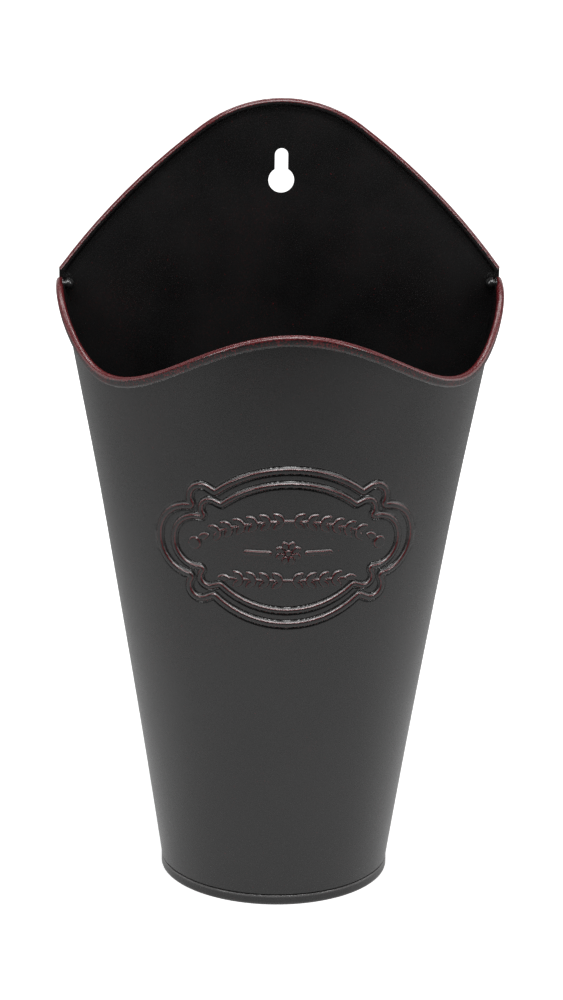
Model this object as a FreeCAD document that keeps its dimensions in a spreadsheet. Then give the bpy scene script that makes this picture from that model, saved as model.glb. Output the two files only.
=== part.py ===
import FreeCAD, Part
import math
import os

import Sketcher
from FreeCAD import Placement, Rotation, Vector

# Wall planter of painted sheet metal. Millimetres, +Z up, the front faces -Y.
# It is modelled with the foot at Z = 0 and the plate's front face at Y = 0, and then placed
# so that the origin is the keyhole's centre on the plate's back face, where it meets the wall.

DRIVING_SIZES = [
    # sheets
    ("plate_thickness", 0.6),
    ("shell_thickness", 0.5),
    ("pan_thickness", 0.6),
    ("sheet_clearance", 0.05),
    # the shell's wall: a leaning cone, slightly flared at its mouth and at its foot
    ("mouth_height", 291.4),
    ("mouth_radius", 100.7),
    ("mouth_centre_distance", 10.3),
    ("foot_radius", 52.8),
    ("foot_centre_distance", 15.0),
    ("mouth_flare", 2.1),
    ("mouth_flare_start", 172.0),
    ("mouth_flare_length", 130.0),
    ("foot_flare", 1.0),
    ("foot_flare_length", 110.0),
    ("shell_foot_height", 5.3),
    # the wavy rim: heights of the middle of its rolled edge
    ("rim_crest_height", 290.6),
    ("rim_low_height", 259.6),
    ("rim_low_angle", 55.5),
    ("rim_corner_height", 287.2),
    ("rim_back_crest_angle", 101.0),
    ("rim_roll_radius", 1.75),
    ("rim_roll_drop", 1.7),
    ("rim_roll_tuck_angle", 120.0),
    # the plate's arch
    ("arch_height", 374.3),
    ("arch_apex_radius", 60.9),
    ("arch_flank_radius", 324.0),
    ("arch_corner_rise", 6.8),
    ("arch_corner_overhang", 1.6),
    ("arch_roll_radius", 1.85),
    ("arch_roll_wrap_angle", 285.0),
    # keyhole
    ("keyhole_height", 335.3),
    ("keyhole_head_radius", 6.0),
    ("keyhole_slot_half_width", 3.1),
    ("keyhole_slot_rise", 12.0),
    # flanges, pan and rivets
    ("flange_depth", 8.0),
    ("pan_height", 14.0),
    ("pan_band_gap", 0.6),
    ("pan_neck_inset", 0.6),
    ("pan_corner_radius", 4.0),
    ("corner_relief_depth", 0.5),
    ("rivet_ear_radius", 3.0),
    ("rivet_reach", 3.7),
    ("rivet_head_radius", 3.3),
    ("rivet_head_height", 3.0),
    ("rivet_collar_radius", 2.3),
    ("rivet_collar_height", 1.5),
    ("rivet_shank_radius", 0.6),
    ("rivet_tail_radius", 0.85),
    ("rivet_tail_height", 0.35),
]

doc = FreeCAD.newDocument("wall_planter")
sheet = doc.addObject("Spreadsheet::Sheet", "Sizes")
for row, (alias, value) in enumerate(DRIVING_SIZES, start=1):
    sheet.set(f"A{row}", alias)
    sheet.set(f"B{row}", str(value))
    sheet.setAlias(f"B{row}", alias)
doc.recompute()


def size(alias):
    return float(sheet.get(alias))


# ---------------------------------------------------------------- the wall of the shell

def smooth_step(share):
    share = min(max(share, 0.0), 1.0)
    return share * share * (3 - 2 * share)


def wall_radius(height):
    """Outer radius of the shell's wall at a height."""
    climb = height / size("mouth_height")
    cone = size("foot_radius") + (size("mouth_radius") - size("foot_radius")) * climb
    mouth = size("mouth_flare") * smooth_step(
        (height - size("mouth_flare_start")) / size("mouth_flare_length"))
    foot = size("foot_flare") * max(1 - height / size("foot_flare_length"), 0) ** 2
    return cone + mouth + foot


def wall_centre(height):
    """How far in front of the plate the wall's centre lies at a height."""
    climb = height / size("mouth_height")
    foot = size("foot_centre_distance")
    return foot + (size("mouth_centre_distance") - foot) * climb


def wall_point(angle, radius, height):
    """The point at an angle from straight ahead, at a radius about the wall's centre."""
    turn = math.radians(angle)
    return Vector(radius * math.sin(turn), -wall_centre(height) - radius * math.cos(turn), height)


def wall_half_width(height, forward=0.0, inward=0.0):
    """Half of the shell's width where it crosses a plane in front of the plate."""
    radius = wall_radius(height) - inward
    return math.sqrt(radius ** 2 - (wall_centre(height) - forward) ** 2)


def spread(first, last, count):
    return [first + (last - first) * step / (count - 1) for step in range(count)]


def smooth_edge(points):
    curve = Part.BSplineCurve()
    curve.interpolate(points)
    return curve.toShape()


def arc_edge(start, middle, end):
    return Part.Arc(start, middle, end).toShape()


# ---------------------------------------------------------------- the shell's wavy rim

CORNER_ANGLE = math.degrees(math.acos(-wall_centre(size("rim_corner_height"))
                                      / wall_radius(size("rim_corner_height"))))
STATION_ANGLE = 5.5
WALL_LEVELS = 8
PAST_THE_PLATE = 13.0


def rim_height(angle):
    """Height of the middle of the rolled edge: a wave in front, then a climb to the plate."""
    low_angle = size("rim_low_angle")
    low = size("rim_low_height")
    away = min(abs(angle), size("rim_back_crest_angle"))
    if away <= low_angle:
        wave = (1 + math.cos(math.pi * away / low_angle)) / 2
        return low + (size("rim_crest_height") - low) * wave
    half_wave = size("rim_back_crest_angle") - low_angle
    share = (1 - math.cos(math.pi * (away - low_angle) / half_wave)) / 2
    corner_share = (1 - math.cos(math.pi * (CORNER_ANGLE - low_angle) / half_wave)) / 2
    return low + (size("rim_corner_height") - low) * share / corner_share


def roll_frame(height):
    """Unit vectors (radius, height) along and out of the wall at a height."""
    step = 1.0
    lean = math.atan2(wall_radius(height + step) - wall_radius(height - step), 2 * step)
    along = (math.sin(lean), math.cos(lean))
    outward = (math.cos(lean), -math.sin(lean))
    return along, outward


def round_the_wire(angle, distance, turn, lowered=0.0):
    """A point round the wire in the rim; a turn of 0 points out of the wall and 90 along it."""
    height = rim_height(angle)
    along, outward = roll_frame(height)
    bore = size("rim_roll_radius") - size("shell_thickness")
    out = bore + distance * math.cos(math.radians(turn))
    up = distance * math.sin(math.radians(turn)) - lowered
    radius = wall_radius(height) + out * outward[0] + up * along[0]
    return wall_point(angle, radius, height + out * outward[1] + up * along[1])


def shell_section(angle):
    """Cross-section of the shell at an angle: the wall, and its edge rolled outwards and down."""
    roll = size("rim_roll_radius")
    bore = roll - size("shell_thickness")
    drop = size("rim_roll_drop")
    tuck = size("rim_roll_tuck_angle")

    def around(distance, turn, lowered=0.0):
        return round_the_wire(angle, distance, turn, lowered)

    def wall_face(depth, top):
        levels = spread(size("shell_foot_height"), rim_height(angle) - roll, WALL_LEVELS)
        return [wall_point(angle, wall_radius(level) - depth, level) for level in levels] + [top]

    inner_face = wall_face(size("shell_thickness"), around(roll, 180))
    outer_face = wall_face(0.0, around(bore, 180))
    outer_roll = [
        arc_edge(around(roll, 180), around(roll, 135), around(roll, 90)),
        arc_edge(around(roll, 90), around(roll, 45), around(roll, 0)),
        Part.makeLine(around(roll, 0), around(roll, 0, drop)),
        arc_edge(around(roll, 0, drop), around(roll, -tuck / 2, drop), around(roll, -tuck, drop)),
    ]
    lip = Part.makeLine(around(roll, -tuck, drop), around(bore, -tuck, drop))
    inner_roll = [
        arc_edge(around(bore, -tuck, drop), around(bore, -tuck / 2, drop), around(bore, 0, drop)),
        Part.makeLine(around(bore, 0, drop), around(bore, 0)),
        arc_edge(around(bore, 0), around(bore, 45), around(bore, 90)),
        arc_edge(around(bore, 90), around(bore, 135), around(bore, 180)),
    ]
    foot = Part.makeLine(outer_face[0], inner_face[0])
    edges = [smooth_edge(inner_face)] + outer_roll + [lip] + inner_roll
    return Part.Wire(edges + [smooth_edge(outer_face[::-1]), foot])


def station_angles():
    half = math.ceil((CORNER_ANGLE + PAST_THE_PLATE) / STATION_ANGLE)
    return [STATION_ANGLE * step for step in range(-half, half + 1)]


def block_in_front(distance):
    """A block that holds everything at least a distance in front of the plate's front face."""
    reach = 2 * size("arch_height")
    return Part.makeBox(2 * reach, reach, 2 * reach, Vector(-reach, -reach - distance, -reach / 2))


# ---------------------------------------------------------------- where the rivets go

def angle_at(forward, height):
    """The angle at which the wall crosses a plane in front of the plate, at a height."""
    return math.degrees(math.acos((forward - wall_centre(height)) / wall_radius(height)))


RIVET_ANGLE = angle_at(size("rivet_reach"), size("rim_corner_height"))


def fold_inset():
    """From the wall's outer face in to the plate's side folds."""
    return size("shell_thickness") + size("sheet_clearance")


def rivet_axis(side):
    """A rivet goes square through the wall, at the middle of the rolled rim: point, direction."""
    middle = round_the_wire(side * RIVET_ANGLE, 0, 0)
    outward = round_the_wire(side * RIVET_ANGLE, 1, 0) - middle
    return middle, outward


def rivet_seat_distance():
    """From the middle of the roll in to the flange's inner face, where the head sits."""
    wall_face = size("rim_roll_radius") - size("shell_thickness")
    return wall_face + fold_inset() + size("plate_thickness")


def rivet_hole(side):
    """The drilling for a rivet's shank through the wall, into the hollow of the rolled edge."""
    middle, outward = rivet_axis(side)
    radius = size("rivet_shank_radius") + size("sheet_clearance")
    inner = rivet_seat_distance()
    length = inner - size("rim_roll_radius") / 2
    return Part.makeCylinder(radius, length, middle - outward * inner, outward)


# ---------------------------------------------------------------- made from sections: the shell

def sheet_object(label, shape):
    """A sub-part whose shape is worked out from the sheet's sizes."""
    piece = doc.addObject("Part::Feature", label)
    piece.Label = label
    piece.Shape = shape
    return piece


def make_front_shell():
    """One sheet: wall and wavy rolled rim in one, trimmed at the plate and drilled."""
    sections = [shell_section(angle) for angle in station_angles()]
    wall = Part.makeLoft(sections, True, False)
    trimmed = wall.common(block_in_front(-size("plate_thickness")))
    drilled = trimmed.cut([rivet_hole(1), rivet_hole(-1)])
    return sheet_object("front_shell", drilled.Solids[0])


def make_front_rim_wire():
    """The wire in the shell's rim, cut short of the rivets."""
    radius = size("rim_roll_radius") - size("shell_thickness") - size("sheet_clearance")
    sections = []
    for angle in station_angles():
        points = [round_the_wire(angle, radius, turn) for turn in (0, 90, 180, 270)]
        upper = arc_edge(points[0], points[1], points[2])
        lower = arc_edge(points[2], points[3], points[0])
        sections.append(Part.Wire([upper, lower]))
    tube = Part.makeLoft(sections, True, False)
    gap = size("rivet_reach") + size("rivet_head_radius")
    return sheet_object("front_rim_wire", tube.common(block_in_front(gap)).Solids[0])


# ---------------------------------------------------------------- made in bodies

def new_body(label):
    body = doc.addObject("PartDesign::Body", label)
    body.Label = label
    return body


def origin_plane(body, role):
    return next(item for item in body.Origin.OriginFeatures if item.Role == role)


def new_sketch(body, name, role, geometry, offset=0.0):
    """A sketch on one of the body's own planes, lifted by an offset, with the given edges."""
    sketch = body.newObject("Sketcher::SketchObject", name)
    sketch.AttachmentSupport = [(origin_plane(body, role), "")]
    sketch.MapMode = "FlatFace"
    sketch.AttachmentOffset = Placement(Vector(0, 0, offset), Rotation())
    sketch.addGeometry(geometry, False)
    return sketch


def flat(across, up):
    """A point of a sketch's own plane."""
    return Vector(across, up, 0)


def flat_line(start, end):
    return Part.LineSegment(flat(*start), flat(*end))


def flat_arc(centre, radius, start_degrees, end_degrees):
    """An arc that runs anticlockwise from one angle to another."""
    circle = Part.Circle(flat(*centre), Vector(0, 0, 1), radius)
    return Part.ArcOfCircle(circle, math.radians(start_degrees), math.radians(end_degrees))


def flat_curve(points):
    curve = Part.BSplineCurve()
    curve.interpolate([flat(*point) for point in points])
    return curve


# ---------------------------------------------------------------- the back plate

def arch_corner():
    """The lower right end of the arch: just outside the shell and above its rim."""
    height = size("rim_corner_height")
    half_width = wall_half_width(height) + size("arch_corner_overhang")
    return half_width, height + size("arch_corner_rise")


def rim_end():
    """Where the shell's rolled rim ends beside the plate: its middle, and a radius clear of it."""
    middle = round_the_wire(angle_at(-size("plate_thickness"), size("rim_corner_height")), 0, 0)
    return (middle.x, middle.z), size("rim_roll_radius") + 2 * size("sheet_clearance")


def arch_shape():
    """Centres of the apex and flank arcs, and the angle from straight up where they meet."""
    apex = size("arch_apex_radius")
    flank = size("arch_flank_radius")
    apex_centre = (0.0, size("arch_height") - apex)
    corner = arch_corner()
    across = corner[0] - apex_centre[0]
    up = corner[1] - apex_centre[1]
    shift = flank - apex
    reach = math.hypot(across, up)
    lean = math.atan2(across, up)
    turn = lean - math.acos((flank ** 2 - reach ** 2 - shift ** 2) / (2 * reach * shift))
    flank_centre = (-shift * math.sin(turn), apex_centre[1] - shift * math.cos(turn))
    return apex_centre, flank_centre, math.degrees(turn)


def arch_point(inset):
    """The lower right end of the arch, moved in from its outline by an inset."""
    apex_centre, flank_centre, turn = arch_shape()
    corner = arch_corner()
    across = corner[0] - flank_centre[0]
    up = corner[1] - flank_centre[1]
    share = (size("arch_flank_radius") - inset) / size("arch_flank_radius")
    return flank_centre[0] + across * share, flank_centre[1] + up * share


def arch_arcs(inset):
    """Right half of the arch: the apex arc and the flank arc, anticlockwise."""
    apex_centre, flank_centre, turn = arch_shape()
    end = arch_point(inset)
    end_angle = math.degrees(math.atan2(end[1] - flank_centre[1], end[0] - flank_centre[0]))
    flank = flat_arc(flank_centre, size("arch_flank_radius") - inset, end_angle, 90 - turn)
    apex = flat_arc(apex_centre, size("arch_apex_radius") - inset, 90 - turn, 90)
    return flank, apex


def mirrored_point(point):
    return -point[0], point[1]


def fold_top():
    """Where the side folds end, level with the rivets."""
    return rivet_axis(1)[0].z


def plate_outline():
    """The flat sheet: side folds inside the wall, tabs shaped round the rim's ends, the arch."""
    roll = size("arch_roll_radius")
    levels = spread(size("shell_foot_height"), fold_top(), WALL_LEVELS)
    right_side = [(wall_half_width(level, 0.0, fold_inset()), level) for level in levels]
    left_side = [mirrored_point(point) for point in right_side]
    flank, apex = arch_arcs(roll)
    end = arch_point(roll)
    tip = arch_corner()

    rim, clear = rim_end()
    relief = size("corner_relief_depth")
    notch_in = right_side[-1][0] - relief
    notch_top = rim[1] + relief
    turn_at_notch = math.asin(relief / clear)
    under_tab = (rim[0] - clear * math.cos(turn_at_notch), notch_top)
    over_rim = (rim[0], rim[1] + clear)
    inner_steps = [right_side[-1], (notch_in, fold_top()), (notch_in, notch_top), under_tab]
    outer_steps = [over_rim, (tip[0], over_rim[1]), tip, end]
    turn_degrees = math.degrees(turn_at_notch)

    apex_centre, flank_centre, turn = arch_shape()
    left_flank_centre = mirrored_point(flank_centre)
    end_angle = math.degrees(math.atan2(end[1] - flank_centre[1], end[0] - flank_centre[0]))
    left_flank = flat_arc(left_flank_centre, size("arch_flank_radius") - roll,
                          90 + turn, 180 - end_angle)
    left_apex = flat_arc(apex_centre, size("arch_apex_radius") - roll, 90, 90 + turn)
    edges = [flat_line(left_side[0], right_side[0])]
    edges += [flat_curve(right_side), flat_curve(left_side)]
    edges += [flat_arc(rim, clear, 90, 180 - turn_degrees)]
    edges += [flat_arc(mirrored_point(rim), clear, turn_degrees, 90)]
    edges += [flank, apex, left_apex, left_flank]
    for steps in (inner_steps, outer_steps):
        for start, stop in zip(steps, steps[1:]):
            edges += [flat_line(start, stop)]
            edges += [flat_line(mirrored_point(start), mirrored_point(stop))]
    return edges


def arch_roll_section():
    """Section of the rolled top edge at the apex, seen along the plate: a short leg and a ring."""
    thickness = size("plate_thickness")
    roll = size("arch_roll_radius")
    bore = roll - thickness
    wrap = size("arch_roll_wrap_angle")
    leg = 2 * thickness
    centre = (thickness - roll, size("arch_height") - roll)

    def around(distance, turn):
        return (centre[0] + distance * math.cos(math.radians(turn)),
                centre[1] + distance * math.sin(math.radians(turn)))

    back_foot = (thickness, centre[1] - leg)
    front_foot = (0.0, centre[1] - leg)
    return [
        flat_line(front_foot, back_foot),
        flat_line(back_foot, around(roll, 0)),
        flat_arc(centre, roll, 0, wrap),
        flat_line(around(roll, wrap), around(bore, wrap)),
        flat_arc(centre, bore, 0, wrap),
        flat_line(around(bore, 0), front_foot),
    ]


def flange_section(level):
    """Section of the right side flange at a height: a strip along the inside of the wall."""
    outside = fold_inset()
    inside = outside + size("plate_thickness")
    depth = size("flange_depth")
    root = size("plate_thickness") / 2

    def face(inward):
        return [(wall_half_width(level, forward, inward), -forward)
                for forward in (-root, depth / 2, depth)]

    outer = face(outside)
    inner = face(inside)
    outer_arc = Part.Arc(*[flat(*point) for point in outer])
    inner_arc = Part.Arc(*[flat(*point) for point in inner])
    return [outer_arc, flat_line(outer[-1], inner[-1]), inner_arc, flat_line(inner[0], outer[0])]


def cut_sketch(body, name, sketch, through="Sizes.plate_thickness"):
    """Cut a sketch of the plate's front face through the plate."""
    pocket = body.newObject("PartDesign::Pocket", name)
    pocket.Profile = sketch
    pocket.setExpression("Length", through)
    doc.recompute()
    return pocket


def circle_sketch(body, name, role, centre, radius, radius_cells):
    """A sketch of one circle, its radius bound to cells of the sheet."""
    circle = Part.Circle(flat(*centre), Vector(0, 0, 1), radius)
    sketch = new_sketch(body, name, role, [circle])
    sketch.addConstraint(Sketcher.Constraint("Radius", 0, radius))
    sketch.setExpression("Constraints[0]", radius_cells)
    return sketch


def keyhole_slot():
    """The slot above the keyhole's round head, with a round end."""
    half = size("keyhole_slot_half_width")
    base = (0.0, size("keyhole_height"))
    top = (0.0, base[1] + size("keyhole_slot_rise"))
    return [
        flat_line((half, base[1]), (half, top[1])),
        flat_arc(top, half, 0, 180),
        flat_line((-half, top[1]), (-half, base[1])),
        flat_line((-half, base[1]), (half, base[1])),
    ]


def add_rivet_ear(body, name, side):
    """The rounded top of a side flange, round the rivet."""
    middle, outward = rivet_axis(side)
    ear = body.newObject("PartDesign::AdditiveCylinder", name)
    ear.setExpression("Radius", "Sizes.rivet_ear_radius")
    ear.setExpression("Height", "Sizes.plate_thickness")
    ear.Placement = Placement(middle - outward * rivet_seat_distance(),
                              Rotation(Vector(0, 0, 1), outward))
    doc.recompute()


def make_back_plate():
    body = new_body("back_plate")
    outline = new_sketch(body, "plate_outline", "XZ_Plane", plate_outline())
    plate = body.newObject("PartDesign::Pad", "plate_sheet")
    plate.Profile = outline
    plate.setExpression("Length", "Sizes.plate_thickness")
    plate.Reversed = True
    doc.recompute()

    head = circle_sketch(body, "keyhole_head_outline", "XZ_Plane", (0.0, size("keyhole_height")),
                         size("keyhole_head_radius"), "Sizes.keyhole_head_radius")
    cut_sketch(body, "keyhole_head", head)
    slot = new_sketch(body, "keyhole_slot_outline", "XZ_Plane", keyhole_slot())
    cut_sketch(body, "keyhole_slot", slot)

    flank, apex = arch_arcs(size("arch_roll_radius"))
    spine = new_sketch(body, "arch_spine", "XZ_Plane", [apex, flank])
    section = new_sketch(body, "arch_roll_section", "YZ_Plane", arch_roll_section())
    roll = body.newObject("PartDesign::AdditivePipe", "arch_roll")
    roll.Profile = section
    roll.Spine = (spine, ["Edge1", "Edge2"])
    doc.recompute()

    levels = spread(size("pan_height") + size("flange_depth"), fold_top(), WALL_LEVELS)
    rings = [new_sketch(body, f"flange_{step}", "XY_Plane", flange_section(level), level)
             for step, level in enumerate(levels)]
    flange = body.newObject("PartDesign::AdditiveLoft", "side_flange")
    flange.Profile = rings[0]
    flange.Sections = rings[1:]
    doc.recompute()

    both = body.newObject("PartDesign::Mirrored", "both_sides")
    both.Originals = [roll, flange]
    both.MirrorPlane = (origin_plane(body, "YZ_Plane"), [""])
    body.Tip = both
    doc.recompute()
    add_rivet_ear(body, "rivet_ear_right", 1)
    add_rivet_ear(body, "rivet_ear_left", -1)

    depth = rivet_seat_distance() - size("plate_thickness") / 2
    drilling = round_the_wire(RIVET_ANGLE, depth, 180)
    radius = size("rivet_shank_radius") + 2 * size("sheet_clearance")
    circle = circle_sketch(body, "rivet_drilling_outline", "YZ_Plane", (drilling.y, drilling.z),
                           radius, "Sizes.rivet_shank_radius + 2 * Sizes.sheet_clearance")
    holes = body.newObject("PartDesign::Pocket", "rivet_drillings")
    holes.Profile = circle
    holes.Type = "ThroughAll"
    holes.Midplane = True
    doc.recompute()
    return body


def make_back_rim_wire():
    """The wire in the rolled top edge of the plate."""
    body = new_body("back_rim_wire")
    thickness = size("plate_thickness")
    roll = size("arch_roll_radius")
    radius = roll - thickness - size("sheet_clearance")
    flank, apex = arch_arcs(roll)
    spine = new_sketch(body, "wire_spine", "XZ_Plane", [apex, flank], roll - thickness)
    section = circle_sketch(body, "wire_section", "YZ_Plane",
                            (thickness - roll, size("arch_height") - roll), radius,
                            "Sizes.arch_roll_radius - Sizes.plate_thickness"
                            " - Sizes.sheet_clearance")
    wire = body.newObject("PartDesign::AdditivePipe", "wire_half")
    wire.Profile = section
    wire.Spine = (spine, ["Edge1", "Edge2"])
    doc.recompute()
    both = body.newObject("PartDesign::Mirrored", "wire_both_halves")
    both.Originals = [wire]
    both.MirrorPlane = (origin_plane(body, "YZ_Plane"), [""])
    body.Tip = both
    doc.recompute()
    return body


# ---------------------------------------------------------------- the base pan

def pan_band_height():
    """The top of the pan's thick lower band, a seam's width under the shell."""
    return size("shell_foot_height") - size("pan_band_gap")


def pan_fit_radius(level):
    """The largest radius that goes inside the shell at a height."""
    return wall_radius(level) - fold_inset()


def pan_neck_radius(level):
    """The pan's wall above its band: a step in from the band, then out until it fits the shell."""
    band = pan_band_height()
    share = max(level - band, 0) / (size("pan_height") - band)
    fit = pan_fit_radius(max(level, size("shell_foot_height")))
    return fit - size("pan_neck_inset") * (1 - share)


def pan_section(level, radius, inset):
    """The pan's outline at a height: a round front, a straight back and rounded back corners."""
    centre = wall_centre(level)
    back = size("sheet_clearance") + inset
    corner = size("pan_corner_radius") - inset
    corner_depth = back + corner
    corner_across = math.sqrt((radius - corner) ** 2 - (centre - corner_depth) ** 2)
    turn = math.degrees(math.atan2(centre - corner_depth, corner_across))
    right_corner = (corner_across, -corner_depth)
    front = flat_arc((0.0, -centre), radius, 180 - turn, 360 + turn)
    right = flat_arc(right_corner, corner, turn, 90)
    left = flat_arc(mirrored_point(right_corner), corner, 90, 180 - turn)
    straight = flat_line((corner_across, -back), (-corner_across, -back))
    return [front, right, straight, left]


def pan_loft(body, kind, name, levels, radius_at, inset):
    """Add or cut a loft through the pan's outlines at some heights."""
    rings = [new_sketch(body, f"{name}_{step}", "XY_Plane",
                        pan_section(level, radius_at(level) - inset, inset), level)
             for step, level in enumerate(levels)]
    loft = body.newObject(kind, name)
    loft.Profile = rings[0]
    loft.Sections = rings[1:]
    doc.recompute()


def make_base_pan():
    """A shallow pan pushed up inside the shell; its thick band is flush with the shell outside."""
    body = new_body("base_pan")
    band = pan_band_height()
    top = size("pan_height")
    thickness = size("pan_thickness")
    pan_loft(body, "PartDesign::AdditiveLoft", "pan_band", [0.0, band],
             lambda level: pan_fit_radius(size("shell_foot_height")), -fold_inset())
    pan_loft(body, "PartDesign::AdditiveLoft", "pan_neck", [band, top], pan_neck_radius, 0.0)
    pan_loft(body, "PartDesign::SubtractiveLoft", "pan_inside_band", [thickness, band],
             lambda level: pan_neck_radius(band), thickness)
    pan_loft(body, "PartDesign::SubtractiveLoft", "pan_inside_neck", [band, top],
             pan_neck_radius, thickness)
    return body


# ---------------------------------------------------------------- rivets

def rivet_profile():
    """Half of a rivet, along its axis: domed head, thick collar, shank and spread tail."""
    collar_end = -rivet_seat_distance() - size("sheet_clearance")
    seat = collar_end - size("rivet_collar_height")
    head_end = seat - size("rivet_head_height")
    head = size("rivet_head_radius")
    collar = size("rivet_collar_radius")
    shank = size("rivet_shank_radius")
    tail = size("shell_thickness") + size("sheet_clearance") - size("rim_roll_radius")
    tail_end = tail + size("rivet_tail_height")
    rise = size("rivet_head_height")
    sphere = (head ** 2 + rise ** 2) / (2 * rise)
    half_way = math.asin(head / sphere) / 2
    dome_middle = (head_end + sphere * (1 - math.cos(half_way)), sphere * math.sin(half_way))
    dome = Part.Arc(flat(head_end, 0), flat(*dome_middle), flat(seat, head))
    corners = [(seat, head), (seat, collar), (collar_end, collar), (collar_end, shank),
               (tail, shank), (tail, size("rivet_tail_radius")),
               (tail_end, size("rivet_tail_radius")), (tail_end, 0), (head_end, 0)]
    return [dome] + [flat_line(start, end) for start, end in zip(corners, corners[1:])]


def make_rivet(label, side):
    body = new_body(label)
    profile = new_sketch(body, label + "_profile", "XY_Plane", rivet_profile())
    turned = body.newObject("PartDesign::Revolution", label + "_turned")
    turned.Profile = profile
    turned.ReferenceAxis = (profile, ["H_Axis"])
    turned.Angle = 360
    doc.recompute()
    middle, outward = rivet_axis(side)
    body.Placement = Placement(middle, Rotation(Vector(1, 0, 0), outward))
    return body


# ---------------------------------------------------------------- assembly

def move_to_keyhole(piece):
    """Put the origin at the keyhole's centre, on the plate's back face."""
    shift = Vector(0, -size("plate_thickness"), -size("keyhole_height"))
    piece.Placement = Placement(shift, Rotation()).multiply(piece.Placement)


def main():
    pieces = [
        make_back_plate(),
        make_back_rim_wire(),
        make_front_shell(),
        make_front_rim_wire(),
        make_base_pan(),
        make_rivet("rivet_right", 1),
        make_rivet("rivet_left", -1),
    ]
    for piece in pieces:
        move_to_keyhole(piece)
    doc.recompute()
    for item in doc.Objects:
        if "Invalid" in item.State or "Error" in item.State:
            raise RuntimeError(f"{item.Name} failed: {item.State}")
    os.makedirs("parts", exist_ok=True)
    for piece in pieces:
        shape = piece.Shape
        if shape.isNull() or not shape.isValid():
            raise RuntimeError(f"{piece.Label} has no valid shape")
        shape.exportStep(f"parts/{piece.Label}.step")
        box = shape.optimalBoundingBox()
        print(f"{piece.Label}: {len(shape.Solids)} solid, {shape.Volume:.0f} mm3, "
              f"x {box.XMin:.2f} {box.XMax:.2f}, y {box.YMin:.2f} {box.YMax:.2f}, "
              f"z {box.ZMin:.2f} {box.ZMax:.2f}")


main()
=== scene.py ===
"""Wall planter of painted sheet metal: its looks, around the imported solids."""

import math

import bpy
import numpy as np
from mathutils import Matrix, Vector


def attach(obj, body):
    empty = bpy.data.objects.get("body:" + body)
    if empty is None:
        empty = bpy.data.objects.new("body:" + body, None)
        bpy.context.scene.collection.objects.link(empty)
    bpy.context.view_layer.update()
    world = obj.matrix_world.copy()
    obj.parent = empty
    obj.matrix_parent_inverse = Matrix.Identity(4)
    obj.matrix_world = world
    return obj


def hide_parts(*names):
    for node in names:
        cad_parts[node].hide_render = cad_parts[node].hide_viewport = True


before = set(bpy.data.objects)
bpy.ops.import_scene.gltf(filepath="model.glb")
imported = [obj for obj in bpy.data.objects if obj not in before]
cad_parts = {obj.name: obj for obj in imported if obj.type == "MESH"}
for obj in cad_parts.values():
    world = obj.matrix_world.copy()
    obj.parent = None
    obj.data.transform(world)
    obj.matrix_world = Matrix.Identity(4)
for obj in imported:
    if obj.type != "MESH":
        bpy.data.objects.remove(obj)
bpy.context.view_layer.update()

# The solids' sizes, in millimetres, with the foot at height 0 and the plate's front at depth 0.
# Angles are in degrees from straight ahead, seen from above.
MM = 0.001
PLATE = 0.6
FOOT = -335.3
SHEET = 0.5
MOUTH_HEIGHT = 291.4
MOUTH_RADIUS = 100.7
MOUTH_CENTRE = 10.3
MOUTH_FLARE = 2.1
MOUTH_FLARE_START = 172.0
MOUTH_FLARE_LENGTH = 130.0
FOOT_RADIUS = 52.8
FOOT_CENTRE = 15.0
FOOT_FLARE = 1.0
FOOT_FLARE_LENGTH = 110.0
SHELL_FOOT = 5.3
ROLL = 1.745
ROLL_BORE = ROLL - SHEET
ROLL_DROP = 1.7
ROLL_TUCK = 120
RIM_CREST = 290.6
RIM_LOW = 259.6
RIM_LOW_ANGLE = 55.5
RIM_CORNER = 287.2
RIM_BACK_CREST_ANGLE = 101.0
PAN_HEIGHT = 14.0
PAN_BAND = 4.6
PAN_SHEET = 0.6
PAN_CORNER = 4.0


# ---------------------------------------------------------------- the shell's shape

def smooth_step(share):
    share = np.clip(share, 0, 1)
    return share * share * (3 - 2 * share)


def wall_radius(height):
    """The wall's outer radius: a cone with a flare at its mouth and at its foot."""
    cone = FOOT_RADIUS + (MOUTH_RADIUS - FOOT_RADIUS) * height / MOUTH_HEIGHT
    mouth = MOUTH_FLARE * smooth_step((height - MOUTH_FLARE_START) / MOUTH_FLARE_LENGTH)
    foot = FOOT_FLARE * np.clip(1 - height / FOOT_FLARE_LENGTH, 0, 1) ** 2
    return cone + mouth + foot


def wall_centre(height):
    """How far the wall's centre stands in front of the plate."""
    return FOOT_CENTRE + (MOUTH_CENTRE - FOOT_CENTRE) * height / MOUTH_HEIGHT


def back_angle(height, depth=PLATE):
    """Where the wall ends, level with the plate's back."""
    return np.degrees(np.arccos(-(wall_centre(height) + depth) / wall_radius(height)))


def rim_height(angle):
    """The wavy rim: a crest in front, a low on each side and a rise towards the corners."""
    away = np.minimum(np.abs(angle), RIM_BACK_CREST_ANGLE)
    wave = (1 + np.cos(np.pi * away / RIM_LOW_ANGLE)) / 2
    front = RIM_LOW + (RIM_CREST - RIM_LOW) * wave
    half_wave = RIM_BACK_CREST_ANGLE - RIM_LOW_ANGLE
    share = (1 - np.cos(np.pi * (away - RIM_LOW_ANGLE) / half_wave)) / 2
    plate_angle = back_angle(RIM_CORNER, 0.0)
    corner = (1 - math.cos(math.pi * (plate_angle - RIM_LOW_ANGLE) / half_wave)) / 2
    back = RIM_LOW + (RIM_CORNER - RIM_LOW) * share / corner
    return np.where(away <= RIM_LOW_ANGLE, front, back)


def lean(height):
    """How far the wall leans outwards, in radians."""
    return np.arctan2(wall_radius(height + 1) - wall_radius(height - 1), 2.0)


def wall_point(angle, radius, height):
    turn = np.radians(angle)
    depth = -wall_centre(height) - radius * np.cos(turn)
    across = radius * np.sin(turn)
    return np.stack([across, np.minimum(depth, PLATE), height + 0 * across], -1)


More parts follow.
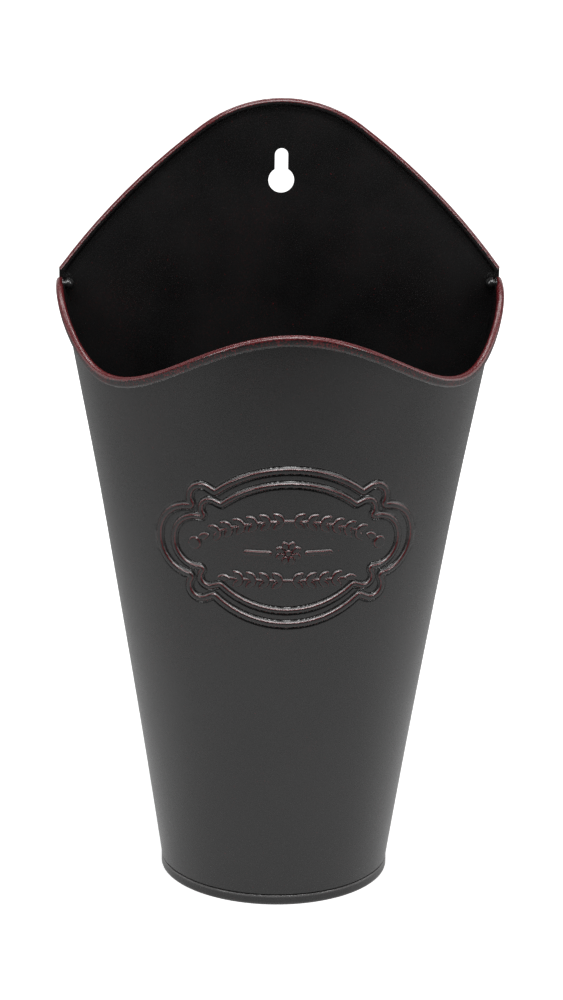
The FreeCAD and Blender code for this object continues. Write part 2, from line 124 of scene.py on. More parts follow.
def roll_point(angle, distance, turn, lowered=0.0):
    """A point of the rolled rim: a turn of 0 points out of the wall and 90 along it."""
    height = rim_height(angle)
    slope = lean(height)
    out = ROLL_BORE + distance * math.cos(math.radians(turn))
    up = distance * math.sin(math.radians(turn)) - lowered
    radius = wall_radius(height) + out * np.cos(slope) + up * np.sin(slope)
    return wall_point(angle, radius, height - out * np.sin(slope) + up * np.cos(slope))


# ---------------------------------------------------------------- outlines over the sheet

def arc_points(start, middle, end, count=16):
    """Points of the arc through three points."""
    (ax, ay), (bx, by), (cx, cy) = start, middle, end
    d = 2 * (ax * (by - cy) + bx * (cy - ay) + cx * (ay - by))
    a2, b2, c2 = ax * ax + ay * ay, bx * bx + by * by, cx * cx + cy * cy
    ux = (a2 * (by - cy) + b2 * (cy - ay) + c2 * (ay - by)) / d
    uy = (a2 * (cx - bx) + b2 * (ax - cx) + c2 * (bx - ax)) / d
    radius = math.hypot(ax - ux, ay - uy)
    first = math.atan2(ay - uy, ax - ux)
    half = (math.atan2(by - uy, bx - ux) - first) % (2 * math.pi)
    whole = (math.atan2(cy - uy, cx - ux) - first) % (2 * math.pi)
    if half > whole:
        whole -= 2 * math.pi
    turns = [first + whole * step / count for step in range(count + 1)]
    return [(ux + radius * math.cos(t), uy + radius * math.sin(t)) for t in turns]


def cartouche(top, shoulder, lobe_start, lobe_middle, waist, side):
    """A closed outline, the same in all four quarters: top arc, corner lobes and side arcs."""
    cap = arc_points((-shoulder[0], shoulder[1]), (0, top), shoulder)
    lobe = [shoulder] + arc_points(lobe_start, lobe_middle, waist)
    flank = arc_points(waist, (side, 0), (waist[0], -waist[1]))
    right = lobe + flank + [(x, -y) for x, y in lobe[::-1]]
    bottom = [(-x, -y) for x, y in cap]
    return np.array(cap + right + bottom + [(-x, -y) for x, y in right])


def distance_to_line(points, line):
    """Distance from each point to a chain of segments."""
    best = np.full(len(points), np.inf)
    for start, end in zip(line[:-1], line[1:]):
        along = end - start
        length = along @ along
        if length < 1e-12:
            continue
        share = np.clip((points - start) @ along / length, 0, 1)
        gap = points - start - share[:, None] * along
        best = np.minimum(best, np.hypot(gap[:, 0], gap[:, 1]))
    return best


def inside(points, outline):
    """Which points lie inside a closed outline."""
    result = np.zeros(len(points), bool)
    px, py = points[:, 0], points[:, 1]
    for (ax, ay), (bx, by) in zip(outline, np.roll(outline, -1, axis=0)):
        if ay == by:
            continue
        crosses = (ay > py) != (by > py)
        result ^= crosses & (px < (bx - ax) * (py - ay) / (by - ay) + ax)
    return result


def depth_inside(points, outline):
    """Distance to a closed outline: above 0 inside it and below 0 outside."""
    distance = distance_to_line(points, np.vstack([outline, outline[:1]]))
    return np.where(inside(points, outline), distance, -distance)


# ---------------------------------------------------------------- the pressed frame

# Millimetres over the sheet, from the frame's middle.
PLAQUE_HEIGHT = 187.3
PLAQUE_HALF_HEIGHT = 42.0
EMBOSS_RISE = 1.15
OUTER_LINE = cartouche(40.0, (34.3, 27.4), (37.6, 29.2), (46.4, 27.2), (46.8, 18.6), 64.6)
OUTER_WIDTH, OUTER_BEVEL = 2.4, 1.0
INNER_LINE = cartouche(32.8, (31.3, 21.2), (34.8, 22.6), (41.0, 20.6), (40.9, 13.9), 56.2)
INNER_WIDTH, INNER_BEVEL = 2.0, 0.95
GROOVE_OFFSET = 0.8
GROOVE_HALF_WIDTH = 0.5
GROOVE_SHARE = 0.30
DETAIL_BEVEL = 0.8
LEAF_LENGTH = 6.4
LEAF_HALF_WIDTH = 1.7
LEAF_SPREAD = 38
LEAF_SPACING = 6.0
FIRST_LEAF = 0.35
STEM_HALF_WIDTH = 0.55
STEM_MARGIN = 2
STRAIGHT = 1e6
UPPER_SPRIG = {"bend": 80.0, "top": 13.6, "half": 36.0}
LOWER_SPRIG = {"bend": STRAIGHT, "top": -16.4, "half": 29.0}
FLOWER_LEVEL = -2.2
FLOWER_HEART = 1.5
PETALS = 8
PETAL_START = 1.7
PETAL_LENGTH = 4.4
DOT_ACROSS, DOT_LEVEL, DOT_RADIUS = 43.8, -0.7, 3.0
DASH_START, DASH_END, DASH_LEVEL, DASH_HALF_WIDTH = 8.7, 19.1, -2.6, 1.1


def raised_edge(reach):
    """Height 0 to 1 of a small detail, from how far inside its edge a point lies."""
    return smooth_step(reach / DETAIL_BEVEL + 0.5)


def ribbon(depth, width, bevel):
    """Height 0 to 1 of a raised ribbon that lies along the inside of an outline."""
    return smooth_step(depth / bevel + 0.5) * smooth_step((width - depth) / bevel + 0.5)


def groove(depth, width):
    """Depth 0 to 1 of the narrow dips along both sides of a ribbon."""
    outer = 1 - np.abs(depth + GROOVE_OFFSET) / GROOVE_HALF_WIDTH
    inner = 1 - np.abs(depth - width - GROOVE_OFFSET) / GROOVE_HALF_WIDTH
    return smooth_step(np.maximum(outer, inner))


def leaf(points, base, direction, length):
    """Height 0 to 1 of a pointed leaf."""
    turn = math.radians(direction)
    gap = points - np.array(base)
    along = gap @ np.array([math.cos(turn), math.sin(turn)]) / length
    aside = np.abs(gap @ np.array([-math.sin(turn), math.cos(turn)]))
    edge = LEAF_HALF_WIDTH * np.sin(np.pi * np.clip(along, 0, 1)) ** 0.8
    reach = np.where((along > 0) & (along < 1), edge - aside, -1.0)
    return smooth_step(reach / DETAIL_BEVEL + 0.3)


def sprig(points, bend, top, half):
    """A pair of leafy twigs on an arc, that point away from the middle."""
    def stem_point(turn):
        return bend * math.sin(turn), top - bend * (1 - math.cos(turn))

    height = np.zeros(len(points))
    last = int(half / LEAF_SPACING)
    for side in (1, -1):
        for step in range(last + 1):
            turn = side * LEAF_SPACING * (step + FIRST_LEAF) / bend
            ahead = -math.degrees(turn) + (0 if side > 0 else 180)
            for spread in ((0,) if step == last else (LEAF_SPREAD, -LEAF_SPREAD)):
                blade = leaf(points, stem_point(turn), ahead + spread, LEAF_LENGTH)
                height = np.maximum(height, blade)
    stem = [stem_point(share * (half - STEM_MARGIN) / bend) for share in np.linspace(-1, 1, 41)]
    thickness = STEM_HALF_WIDTH - distance_to_line(points, np.array(stem))
    return np.maximum(height, raised_edge(thickness))


def flower(points):
    heart = np.hypot(points[:, 0], points[:, 1] - FLOWER_LEVEL)
    height = raised_edge(FLOWER_HEART - heart)
    for petal in range(PETALS):
        direction = 360 / PETALS * (petal + 0.5)
        turn = math.radians(direction)
        base = (PETAL_START * math.cos(turn), FLOWER_LEVEL + PETAL_START * math.sin(turn))
        height = np.maximum(height, leaf(points, base, direction, PETAL_LENGTH))
    return height


def dot(points, side):
    gap = np.hypot(points[:, 0] - side * DOT_ACROSS, points[:, 1] - DOT_LEVEL)
    return raised_edge(DOT_RADIUS - gap)


def dash(points, side):
    line = np.array([(side * DASH_START, DASH_LEVEL), (side * DASH_END, DASH_LEVEL)])
    return raised_edge(DASH_HALF_WIDTH - distance_to_line(points, line))


def pressed(across, up):
    """Height of the whole pressed pattern, as a share of its rise: dips are below 0."""
    points = np.stack([across, up], -1)
    outer, inner = depth_inside(points, OUTER_LINE), depth_inside(points, INNER_LINE)
    forms = [ribbon(outer, OUTER_WIDTH, OUTER_BEVEL), ribbon(inner, INNER_WIDTH, INNER_BEVEL),
             sprig(points, **UPPER_SPRIG), sprig(points, **LOWER_SPRIG), flower(points)]
    for side in (1, -1):
        forms += [dot(points, side), dash(points, side)]
    height = np.max(forms, axis=0)
    dip = np.maximum(groove(outer, OUTER_WIDTH), groove(inner, INNER_WIDTH))
    return height - GROOVE_SHARE * dip * (1 - height)


# ---------------------------------------------------------------- meshes

SHARP_EDGE = 50


def place(points):
    """From the drawing's millimetres to the row frame's metres."""
    return (points + np.array([0.0, -PLATE, FOOT])) * MM


def mesh_piece(name, points, faces, attributes):
    mesh = bpy.data.meshes.new(name)
    mesh.from_pydata(place(points).reshape(-1, 3).tolist(), [], faces)
    for key, values in attributes.items():
        layer = mesh.attributes.new(key, "FLOAT", "POINT")
        layer.data.foreach_set("value", np.ascontiguousarray(values, np.float32).ravel())
    mesh.validate()
    mesh.shade_smooth()
    mesh.set_sharp_from_angle(angle=math.radians(SHARP_EDGE))
    piece = bpy.data.objects.new(name, mesh)
    bpy.context.collection.objects.link(piece)
    return piece


def grid_mesh(name, grid, attributes):
    """A mesh from rows of points that close into a loop, with both ends of the rows capped."""
    rows, columns = grid.shape[:2]
    index = np.arange(rows * columns).reshape(rows, columns)
    ahead = np.roll(index, -1, axis=0)
    quads = np.stack([index[:, :-1], index[:, 1:], ahead[:, 1:], ahead[:, :-1]], -1)
    faces = quads.reshape(-1, 4).tolist() + [index[:, 0].tolist(), index[::-1, -1].tolist()]
    return mesh_piece(name, grid, faces, attributes)


def ring_mesh(name, rings, attributes):
    """A closed mesh from rings of points, one above the other, filled at both ends."""
    count, around = len(rings), len(rings[0])
    index = np.arange(count * around).reshape(count, around)
    ahead = np.roll(index, -1, axis=1)
    quads = np.stack([index[:-1], ahead[:-1], ahead[1:], index[1:]], -1)
    faces = quads.reshape(-1, 4).tolist() + [index[0, ::-1].tolist(), index[-1].tolist()]
    return mesh_piece(name, np.array(rings), faces, attributes)


# ---------------------------------------------------------------- the shell

FINE_ANGLE, FINE_ANGLE_STEP = 47.0, 0.25
COARSE_ANGLE, COARSE_ANGLE_STEP = 106.0, 1.0
FINE_ROW_STEP = 0.34
RIM_WEAR = 0.35
RIM_WEAR_FULL_TURN = 50.0
RIM_WEAR_LAST_TURN = -35
# Turns of the roll's lowest edge that get a pale painted reflection line.
PAINTED_REFLECTION_TURNS = (-80, -40)


def shell_columns():
    """Shares from one back edge to the other, close together across the pressed frame."""
    fine = np.arange(-FINE_ANGLE, FINE_ANGLE + 0.01, FINE_ANGLE_STEP)
    coarse = np.arange(FINE_ANGLE + COARSE_ANGLE_STEP, COARSE_ANGLE, COARSE_ANGLE_STEP)
    angles = np.concatenate([-coarse[::-1], fine, coarse])
    return angles / angles[-1]


def rim_angles(share):
    """The rim's angles: its ends lie level with the plate's back, at the rim's own height."""
    angle = share * 100.0
    for _ in range(6):
        angle = share * back_angle(rim_height(angle))
    return angle


def make_shell():
    """The shell's sheet, from its inner foot over the rolled rim and down its front."""
    share = shell_columns()
    angle = rim_angles(share)
    top = rim_height(angle) - ROLL
    rows = []
    attributes = {"raised": [], "rim": [], "edge": []}

    def add(points, **values):
        rows.append(points)
        for key, layer in attributes.items():
            layer.append(np.broadcast_to(values.get(key, 0.0), share.shape))

    def wall_row(level, depth):
        return wall_point(share * back_angle(level), wall_radius(level) - depth, level)

    for part in np.linspace(0, 1, 30):
        add(wall_row(SHELL_FOOT + (top - SHELL_FOOT) * part, SHEET))
    for turn in range(180, -1, -10):
        worn = RIM_WEAR + (1 - RIM_WEAR) * float(smooth_step(turn / RIM_WEAR_FULL_TURN))
        add(roll_point(angle, ROLL, turn), rim=worn)
    # The roll's lowest edge is marked for a pale painted reflection line.
    for turn in range(0, -ROLL_TUCK - 1, -10):
        add(roll_point(angle, ROLL, turn, ROLL_DROP),
            rim=RIM_WEAR if turn > RIM_WEAR_LAST_TURN else 0.0,
            edge=1.0 if PAINTED_REFLECTION_TURNS[0] < turn < PAINTED_REFLECTION_TURNS[1] else 0.0)
    for turn in range(-ROLL_TUCK, 1, 30):
        add(roll_point(angle, ROLL_BORE, turn, ROLL_DROP))
    for turn in range(0, 181, 45):
        add(roll_point(angle, ROLL_BORE, turn))

    low, high = PLAQUE_HEIGHT - PLAQUE_HALF_HEIGHT, PLAQUE_HEIGHT + PLAQUE_HALF_HEIGHT
    for part in np.linspace(0, 1, 16, endpoint=False):
        add(wall_row(top - (top - high) * part, 0.0))
    for level in np.arange(high, low, -FINE_ROW_STEP):
        across = np.radians(share * back_angle(level)) * wall_radius(level)
        raised = pressed(across, np.full_like(across, level - PLAQUE_HEIGHT))
        slope = lean(level)
        radius = wall_radius(level) + EMBOSS_RISE * raised * np.cos(slope)
        height = level - EMBOSS_RISE * raised * np.sin(slope)
        add(wall_point(share * back_angle(level), radius, height), raised=raised)
    for level in np.linspace(low, SHELL_FOOT, 40):
        add(wall_row(level, 0.0))

    layers = {key: np.array(layer) for key, layer in attributes.items()}
    shell = grid_mesh("shell", np.array(rows), layers)
    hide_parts("front_shell")
    return shell


# ---------------------------------------------------------------- the pan

PAN_GAP = 0.05
PAN_NECK_STEP = 1.6
PAN_LEAST_CORNER = 0.5
PAN_FOOT_ROUND = 0.3
PAN_FOOT_WEAR = 0.3
PAN_BAND_LEVELS = (1.2, 2.4, 3.4)
PAN_BAND_ROUND = 0.45
# How pale the band's rounded top is painted: a painted highlight.
PAN_BAND_HIGHLIGHT = 0.45
PAN_INNER_ROUND = 0.6


def pan_ring(level, radius, inset):
    """The pan's outline at a height: a round front, rounded back corners, a straight back."""
    centre = wall_centre(level)
    back = PAN_GAP + inset
    corner = max(PAN_CORNER - inset, PAN_LEAST_CORNER)
    across = math.sqrt((radius - corner) ** 2 - (centre - back - corner) ** 2)
    turn = math.degrees(math.atan2(centre - back - corner, across))
    front = np.radians(np.linspace(180 - turn, 360 + turn, 121))
    right = np.radians(np.linspace(turn, 90, 9)[1:])
    left = np.radians(np.linspace(90, 180 - turn, 9)[:-1])
    x = np.concatenate([radius * np.cos(front), across + corner * np.cos(right),
                        -across + corner * np.cos(left)])
    y = np.concatenate([-centre + radius * np.sin(front),
                        -back - corner + corner * np.sin(right),
                        -back - corner + corner * np.sin(left)])
    return np.stack([x, y, np.full_like(x, level)], -1)


def make_pan():
    """The pan, from its foot up the band and the neck, and down inside to its bottom."""
    out = SHEET + PAN_GAP
    band = wall_radius(SHELL_FOOT) - out
    rings, wear = [], []

    def add(level, radius, inset=0.0, worn=0.0):
        rings.append(pan_ring(level, radius - inset, inset))
        wear.append(np.full(len(rings[0]), worn))

    def neck(level):
        share = (level - PAN_BAND) / (PAN_HEIGHT - PAN_BAND)
        return wall_radius(max(level, SHELL_FOOT)) - out - PAN_NECK_STEP * (1 - share)

    quarter = [math.radians(turn) for turn in range(0, 91, 15)]
    for turn in quarter:
        inset = PAN_FOOT_ROUND * (1 - math.sin(turn))
        add(PAN_FOOT_ROUND * (1 - math.cos(turn)), band, inset - out, PAN_FOOT_WEAR)
    for level in PAN_BAND_LEVELS:
        add(level, band, -out)
    # The band's rounded top is painted pale: a painted highlight.
    for turn in quarter:
        inset = PAN_BAND_ROUND * (1 - math.cos(turn))
        level = PAN_BAND - PAN_BAND_ROUND * (1 - math.sin(turn))
        add(level, band, inset - out, PAN_BAND_HIGHLIGHT)
    for level in np.linspace(PAN_BAND + PAN_GAP, PAN_HEIGHT, 8):
        add(level, neck(level))
    for level in np.linspace(PAN_HEIGHT, PAN_SHEET + PAN_INNER_ROUND, 8):
        add(level, neck(max(level, PAN_BAND)), PAN_SHEET)
    add(PAN_SHEET, neck(PAN_BAND), PAN_SHEET + PAN_INNER_ROUND)
    pan = ring_mesh("pan", rings, {"edge": np.array(wear)})
    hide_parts("base_pan")
    return pan


# ---------------------------------------------------------------- nodes

class Nodes:
    """Short calls to build the nodes of a material or of the world."""

    def __init__(self, owner, shader="Principled BSDF"):
        owner.use_nodes = True
        self.owner = owner
        self.tree = owner.node_tree
        self.shader = self.tree.nodes[shader]

    def add(self, kind, links=(), **settings):
        node = self.tree.nodes.new(kind)
        for key, value in settings.items():
            if hasattr(node, key):
                setattr(node, key, value)
            else:
                node.inputs[key.replace("_", " ")].default_value = value
        for socket, source in links:
            self.tree.links.new(source, node.inputs[socket])
        return node

    def put(self, socket, source):
        """Give a socket a value, or link it."""
        if isinstance(source, (int, float)):
            socket.default_value = source
        elif isinstance(source, tuple):
            socket.default_value = (*source, 1.0)
        else:
            self.tree.links.new(source, socket)

    def set(self, name, source):
        self.put(self.shader.inputs[name], source)

    def math(self, operation, first, second, clamp=False):
        node = self.add("ShaderNodeMath", operation=operation, use_clamp=clamp)
        self.put(node.inputs[0], first)
        self.put(node.inputs[1], second)
        return node.outputs[0]

    def ramp(self, value, low, high, start=0.0, end=1.0):
        """A smooth step from start to end while the value goes from low to high."""
        node = self.add("ShaderNodeMapRange", [("Value", value)], interpolation_type="SMOOTHSTEP")
        for name, number in (("From Min", low), ("From Max", high), ("To Min", start),
                             ("To Max", end)):
            node.inputs[name].default_value = number
        return node.outputs["Result"]

    def place(self, output="Object"):
        return self.add("ShaderNodeTexCoord").outputs[output]

    def noise(self, scale, detail=3.0, roughness=0.55):
        return self.add("ShaderNodeTexNoise", [("Vector", self.place())],
                        Scale=scale, Detail=detail, Roughness=roughness).outputs["Fac"]

    def mix(self, share, first, second):
        node = self.add("ShaderNodeMix", [("Factor", share)], data_type="RGBA")
        self.put(node.inputs[6], first)
        self.put(node.inputs[7], second)
        return node.outputs[2]

    def part(self, vector, axis):
        return self.add("ShaderNodeSeparateXYZ", [("Vector", vector)]).outputs[axis]

    def attribute(self, name):
        return self.add("ShaderNodeAttribute", attribute_name=name).outputs["Fac"]


# ---------------------------------------------------------------- materials

# Colours are linear, noise scales are per metre and lengths are in metres.
CHARCOAL_DARK = (0.0019, 0.0019, 0.0021)
CHARCOAL_LIGHT = (0.0062, 0.0060, 0.0062)
RUST_TINT = (0.040, 0.009, 0.009)
BURGUNDY = (0.085, 0.0050, 0.0070)
BURGUNDY_PALE = (0.24, 0.050, 0.055)
# Pale grey for painted highlights and reflections along edges, and for pale wear at the pan's
# foot.
PALE_HIGHLIGHT_AND_WEAR = (0.16, 0.155, 0.155)
STEEL_DARK = (0.32, 0.31, 0.30)
STEEL_LIGHT = (0.50, 0.49, 0.47)
BLOTCHES = 22.0
PATCHES = 24.0
BREAKS = 70.0
HIGHLIGHT_AND_WEAR_SPOTS = 160.0
PALE_SPOTS = 900.0
WEAR_GRAIN = 1150.0
SPECKLES = 1250.0
PAINT_GRAIN = 1500.0
PAINT_ROUGHNESS = 0.17
CREASE_ROUGHNESS = 0.45
PAINT_SPECULAR = 0.8
GRAIN_BUMP = 0.00008
WAVE_BUMP = 0.0005
ARCH_START = (-0.046, -0.043)
ARCH_ROLL_FRONT = (-0.0012, -0.0007)
ARCH_MIDDLE = (0.0, -0.002, -0.035)


def charcoal(n, grain, broad):
    """Blotchy charcoal with fine light grain and a few reddish specks."""
    speckle = n.ramp(n.noise(SPECKLES, 2.0, 0.6), 0.54, 0.68)
    patches = n.ramp(n.noise(PATCHES, 3.0, 0.6), 0.48, 0.68)
    colour = n.mix(broad, CHARCOAL_DARK, CHARCOAL_LIGHT)
    reddish = n.math("MULTIPLY", speckle, n.math("ADD", n.math("MULTIPLY", patches, 0.4), 0.05))
    colour = n.mix(reddish, colour, RUST_TINT)
    light_grain = n.math("MULTIPLY", n.ramp(grain, 0.42, 0.66), 0.6)
    return n.mix(light_grain, colour, CHARCOAL_LIGHT)


def rub_through(n, colour, worn):
    """Burgundy, paler in spots, where worn is about 1, with a ragged border."""
    fine = n.math("MULTIPLY", n.math("SUBTRACT", n.noise(WEAR_GRAIN, 3.0, 0.6), 0.5), 2.2)
    broken = n.math("MULTIPLY", n.math("SUBTRACT", n.noise(BREAKS), 0.5), 0.5)
    wear = n.math("ADD", worn, n.math("ADD", fine, broken))
    colour = n.mix(n.ramp(wear, 0.42, 0.60), colour, BURGUNDY)
    spots = n.ramp(n.noise(PALE_SPOTS), 0.42, 0.66)
    pale = n.math("MULTIPLY", n.ramp(wear, 0.85, 1.45), spots)
    return n.mix(n.math("MULTIPLY", pale, 0.6), colour, BURGUNDY_PALE)


def paint(name, worn, edge=None, crease=None):
    """Satin charcoal paint, with functions for its wear, its pale painted highlights and pale worn
    edges, and its creases.
    """
    n = Nodes(bpy.data.materials.new(name))
    broad = n.ramp(n.noise(BLOTCHES), 0.3, 0.7)
    grain = n.noise(PAINT_GRAIN, 2.0)
    colour = rub_through(n, charcoal(n, grain, broad), worn(n))
    # Pale grey where the edge function asks: painted highlights and reflections, and pale wear on
    # the pan's foot.
    if edge:
        pale_highlight_and_wear = n.math("MULTIPLY", edge(n), n.ramp(n.noise(HIGHLIGHT_AND_WEAR_SPOTS), 0.15, 0.5))
        colour = n.mix(pale_highlight_and_wear, colour, PALE_HIGHLIGHT_AND_WEAR)
    n.set("Base Color", colour)
    rough = n.math("ADD", n.math("MULTIPLY", grain, 0.18), n.math("MULTIPLY", broad, 0.04))
    if crease:
        rough = n.math("ADD", rough, n.math("MULTIPLY", crease(n), CREASE_ROUGHNESS))
    n.set("Roughness", n.math("ADD", rough, PAINT_ROUGHNESS))
    bump = n.add("ShaderNodeBump", [("Height", grain)], Strength=0.35, Distance=GRAIN_BUMP)
    waves = [("Height", n.noise(PATCHES, 2.0)), ("Normal", bump.outputs[0])]
    bump = n.add("ShaderNodeBump", waves, Strength=0.25, Distance=WAVE_BUMP)
    n.set("Normal", bump.outputs[0])
    n.set("Specular IOR Level", PAINT_SPECULAR)
    return n.owner


def shell_wear(n):
    """The rolled rim's upper side, and the shoulders of the pressed lines."""
    raised = n.attribute("raised")
    shoulder = n.math("SUBTRACT", n.ramp(raised, 0.40, 0.60), n.ramp(raised, 0.85, 0.97))
    return n.math("MAXIMUM", n.math("MULTIPLY", shoulder, 0.8), n.attribute("rim"), clamp=True)


def shell_crease(n):
    """The duller foot of the pressed lines."""
    raised = n.attribute("raised")
    return n.math("SUBTRACT", n.ramp(raised, 0.0, 0.05), n.ramp(raised, 0.20, 0.45))


def shell_painted_highlights(n):
    """Painted light: a pale painted reflection along the rolled rim's lowest edge, and pale
    painted highlights on the upper flanks of the pressed lines, strongest where they face up.
    """
    raised = n.attribute("raised")
    band = n.math("SUBTRACT", n.ramp(raised, 0.10, 0.28), n.ramp(raised, 0.42, 0.62))
    upward = n.part(n.add("ShaderNodeNewGeometry").outputs["Normal"], "Z")
    # Paler where the surface faces up, as a light from above would light it: a painted highlight.
    lit = n.math("ADD", n.math("MULTIPLY", n.ramp(upward, 0.05, 0.4), 0.75), 0.12)
    return n.math("MAXIMUM", n.math("MULTIPLY", band, lit), n.attribute("edge"), clamp=True)


def pan_edge(n):
    """Pale on the rounded edges of the pan's band: a painted highlight along its top, and pale
    wear at its foot.
    """
    return n.attribute("edge")


def plate_wear(n):
    """The outer side of the arch's rolled edge."""
    above = n.ramp(n.part(n.place(), "Z"), *ARCH_START)
    forward = n.math("SUBTRACT", 1.0, n.ramp(n.part(n.place(), "Y"), *ARCH_ROLL_FRONT))
    away = n.add("ShaderNodeVectorMath", [(0, n.place())], operation="SUBTRACT")
    away.inputs[1].default_value = ARCH_MIDDLE
    outward = n.add("ShaderNodeVectorMath", [(0, away.outputs[0])], operation="NORMALIZE")
    normal = n.add("ShaderNodeNewGeometry").outputs["Normal"]
    facing = n.add("ShaderNodeVectorMath", [(0, outward.outputs[0]), (1, normal)],
                   operation="DOT_PRODUCT")
    outer = n.ramp(facing.outputs["Value"], 0.0, 0.55)
    return n.math("MULTIPLY", n.math("MULTIPLY", above, forward), outer)


def no_wear(n):
    return n.math("MULTIPLY", n.noise(90.0, 4.0), 0.05)


def steel(name):
    """Drawn steel wire with faint lines."""
    n = Nodes(bpy.data.materials.new(name))
    lines = n.noise(900.0, 4.0)
    n.set("Base Color", n.mix(lines, STEEL_DARK, STEEL_LIGHT))
    n.set("Metallic", 1.0)
    n.set("Roughness", n.math("ADD", n.math("MULTIPLY", lines, 0.2), 0.25))
    bump = n.add("ShaderNodeBump", [("Height", lines)], Strength=0.2, Distance=0.0001)
    n.set("Normal", bump.outputs[0])
    return n.owner


def dress(node, material):
    """Give a material to every slot of a solid."""
    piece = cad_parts[node]
    if not piece.material_slots:
        piece.data.materials.append(material)
    for slot in piece.material_slots:
        slot.material = material


# ---------------------------------------------------------------- the camera

# Fitted to the photograph: millimetres, degrees and pixels.
PHOTO_HEIGHT = 1000
CAMERA_DISTANCE = 1784.06
CAMERA_PITCH = 17.9699
CAMERA_YAW = 3.4555
CAMERA_ROLL = 0.8322
CAMERA_FOCAL_PIXELS = 3739.44
CAMERA_TARGET = (2.28, 0.0, 179.151)
SENSOR = 36.0


def make_camera():
    pitch, yaw, roll = (math.radians(v) for v in (CAMERA_PITCH, CAMERA_YAW, CAMERA_ROLL))
    ahead = Vector((math.sin(yaw) * math.cos(pitch), math.cos(yaw) * math.cos(pitch),
                    -math.sin(pitch)))
    right = Vector((math.cos(yaw), -math.sin(yaw), 0))
    up = right.cross(ahead)
    right_rolled = right * math.cos(roll) + up * math.sin(roll)
    up_rolled = -right * math.sin(roll) + up * math.cos(roll)
    target = Vector(place(np.array(CAMERA_TARGET)).tolist())
    data = bpy.data.cameras.new("camera")
    data.sensor_fit = "VERTICAL"
    data.sensor_height = SENSOR
    data.sensor_width = SENSOR
    data.lens = CAMERA_FOCAL_PIXELS / PHOTO_HEIGHT * data.sensor_height
    data.clip_start, data.clip_end = 0.05, 20.0
    camera = bpy.data.objects.new("camera", data)
    bpy.context.collection.objects.link(camera)
    turn = Matrix((right_rolled, up_rolled, -ahead)).transposed()
    camera.matrix_world = Matrix.Translation(target - ahead * CAMERA_DISTANCE * MM) @ turn.to_4x4()
    bpy.context.scene.camera = camera


# ---------------------------------------------------------------- the studio

# Strengths are of light, where 1 is white. Lengths are in metres.
AMBIENT = 0.22
REFLECTED_FRONT = 0.035
REFLECTED_SIDES = 0.14
REFLECTED_BEHIND = 1.25
SIDES_RISE = (-0.6, 0.0)
BEHIND_RISE = (0.64, 0.95)
FLOOR_REACH = 3.0
FLOOR_GAP = 0.0002
FLOOR_TONES = ((0.70, 0.70, 0.70), (0.74, 0.74, 0.74))
FLOOR_WHITE = 0.60
FLOOR_WHITE_RISE = (0.4, 0.9)
FLOOR_GLOW = 0.33
FLOOR_GLOW_FALL = (0.30, 0.60)
FLOOR_DARKENING = 0.42
FRONT_DARKENING = 0.5
FRONT_DARKENING_FALL = (-0.75, -0.30)

# Each lamp: name, place, what it aims at, its two sides and its watts.
LAMPS = (
    ("top box", (0.0, -0.80, 1.15), (0, -0.05, -0.1), (1.3, 0.7), 8.0),
    ("top strip", (0.0, -0.80, 1.10), (0, -0.05, -0.1), (1.3, 0.12), 9.0),
    ("rear strip", (0.0, 0.50, 1.15), (0, -0.05, -0.05), (1.8, 0.10), 7.0),
    ("left bar", (-1.05, -0.75, 0.50), (0, -0.03, -0.08), (0.12, 0.8), 4.5),
    ("right bar", (1.05, -0.75, 0.50), (0, -0.03, -0.08), (0.12, 0.8), 4.5),
    ("left strip", (-1.1, 0.25, 0.0), (0, -0.05, -0.15), (0.2, 1.2), 1.3),
    ("right strip", (1.1, 0.2, -0.05), (0, -0.05, -0.15), (0.35, 1.3), 3.0),
)


def area_light(name, location, target, size, power):
    data = bpy.data.lights.new(name, "AREA")
    data.shape = "RECTANGLE"
    data.size, data.size_y = size
    data.energy = power
    light = bpy.data.objects.new(name, data)
    light.location = location
    light.rotation_euler = (Vector(target) - Vector(location)).to_track_quat("-Z", "Y").to_euler()
    bpy.context.collection.objects.link(light)


def make_world():
    """White to the camera. Reflections see it dark in front, grey beside and bright behind."""
    world = bpy.data.worlds.new("studio")
    bpy.context.scene.world = world
    n = Nodes(world, "Background")
    n.set("Color", (1, 1, 1))
    path = n.add("ShaderNodeLightPath").outputs
    depth = n.part(n.place("Generated"), "Y")
    sides = n.ramp(depth, *SIDES_RISE, REFLECTED_FRONT, REFLECTED_SIDES)
    behind = n.ramp(depth, *BEHIND_RISE, 0.0, REFLECTED_BEHIND - REFLECTED_SIDES)
    glossy = n.math("MULTIPLY", path["Is Glossy Ray"], n.math("ADD", sides, behind))
    clear = n.math("MAXIMUM", path["Is Camera Ray"], path["Is Transmission Ray"])
    seen = n.math("MAXIMUM", clear, path["Is Glossy Ray"])
    ambient = n.math("MULTIPLY", n.math("SUBTRACT", 1.0, seen), AMBIENT)
    n.set("Strength", n.math("ADD", n.math("MAXIMUM", clear, glossy), ambient))


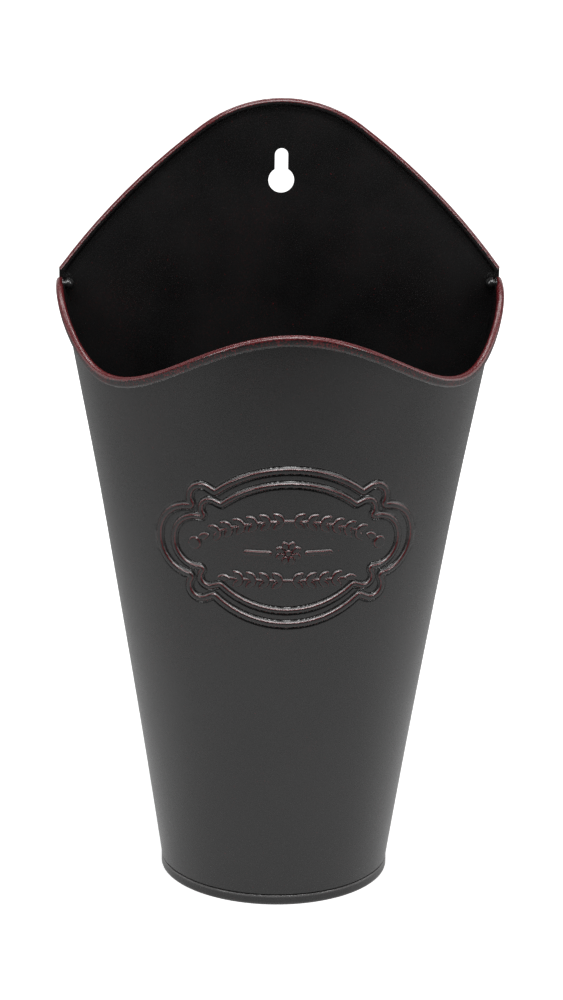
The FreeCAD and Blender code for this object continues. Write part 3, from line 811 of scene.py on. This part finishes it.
def floor_paint():
    """Pale grey, white to the camera. Reflections see it dim, but brighter round the object."""
    n = Nodes(bpy.data.materials.new("pale floor"))
    n.set("Roughness", 0.9)
    n.set("Specular IOR Level", 0.1)
    path = n.add("ShaderNodeLightPath").outputs
    length = n.add("ShaderNodeVectorMath", [(0, n.place())], operation="LENGTH").outputs["Value"]
    front = n.math("SUBTRACT", 1.0, n.ramp(n.part(n.place(), "Y"), *FRONT_DARKENING_FALL))
    darker = n.math("ADD", n.math("MULTIPLY", front, FRONT_DARKENING), FLOOR_DARKENING)
    unseen = n.math("MULTIPLY", path["Is Glossy Ray"], darker)
    n.set("Base Color", n.mix(unseen, n.mix(n.noise(3.0, 2.0), *FLOOR_TONES), (0.0, 0.0, 0.0)))
    n.set("Emission Color", (1, 1, 1))
    near = n.math("SUBTRACT", 1.0, n.ramp(length, *FLOOR_GLOW_FALL))
    glossy = n.math("MULTIPLY", path["Is Glossy Ray"], n.math("MULTIPLY", near, FLOOR_GLOW))
    far = n.math("MULTIPLY", n.ramp(length, *FLOOR_WHITE_RISE), 1 - FLOOR_WHITE)
    camera = n.math("MULTIPLY", path["Is Camera Ray"], n.math("ADD", FLOOR_WHITE, far))
    n.set("Emission Strength", n.math("ADD", glossy, camera))
    return n.owner


def make_floor():
    mesh = bpy.data.meshes.new("floor")
    corners = ((-1, -1), (1, -1), (1, 1), (-1, 1))
    level = FOOT * MM - FLOOR_GAP
    mesh.from_pydata([(x * FLOOR_REACH, y * FLOOR_REACH, level) for x, y in corners], [],
                     [(0, 1, 2, 3)])
    floor = bpy.data.objects.new("floor", mesh)
    bpy.context.collection.objects.link(floor)
    mesh.materials.append(floor_paint())


# ---------------------------------------------------------------- put together

shell = make_shell()
shell.data.materials.append(paint("shell paint", shell_wear, shell_painted_highlights, shell_crease))
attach(shell, "root")

dress("back_plate", paint("plate paint", plate_wear))
pan = make_pan()
pan.data.materials.append(paint("pan paint", no_wear, pan_edge))
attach(pan, "root")
rivet_paint = paint("rivet paint", no_wear)
dress("rivet_left", rivet_paint)
dress("rivet_right", rivet_paint)
wire = steel("wire steel")
dress("back_rim_wire", wire)
dress("front_rim_wire", wire)

make_camera()
make_world()
make_floor()
for lamp in LAMPS:
    area_light(*lamp)
bpy.context.scene.view_settings.view_transform = "Standard"
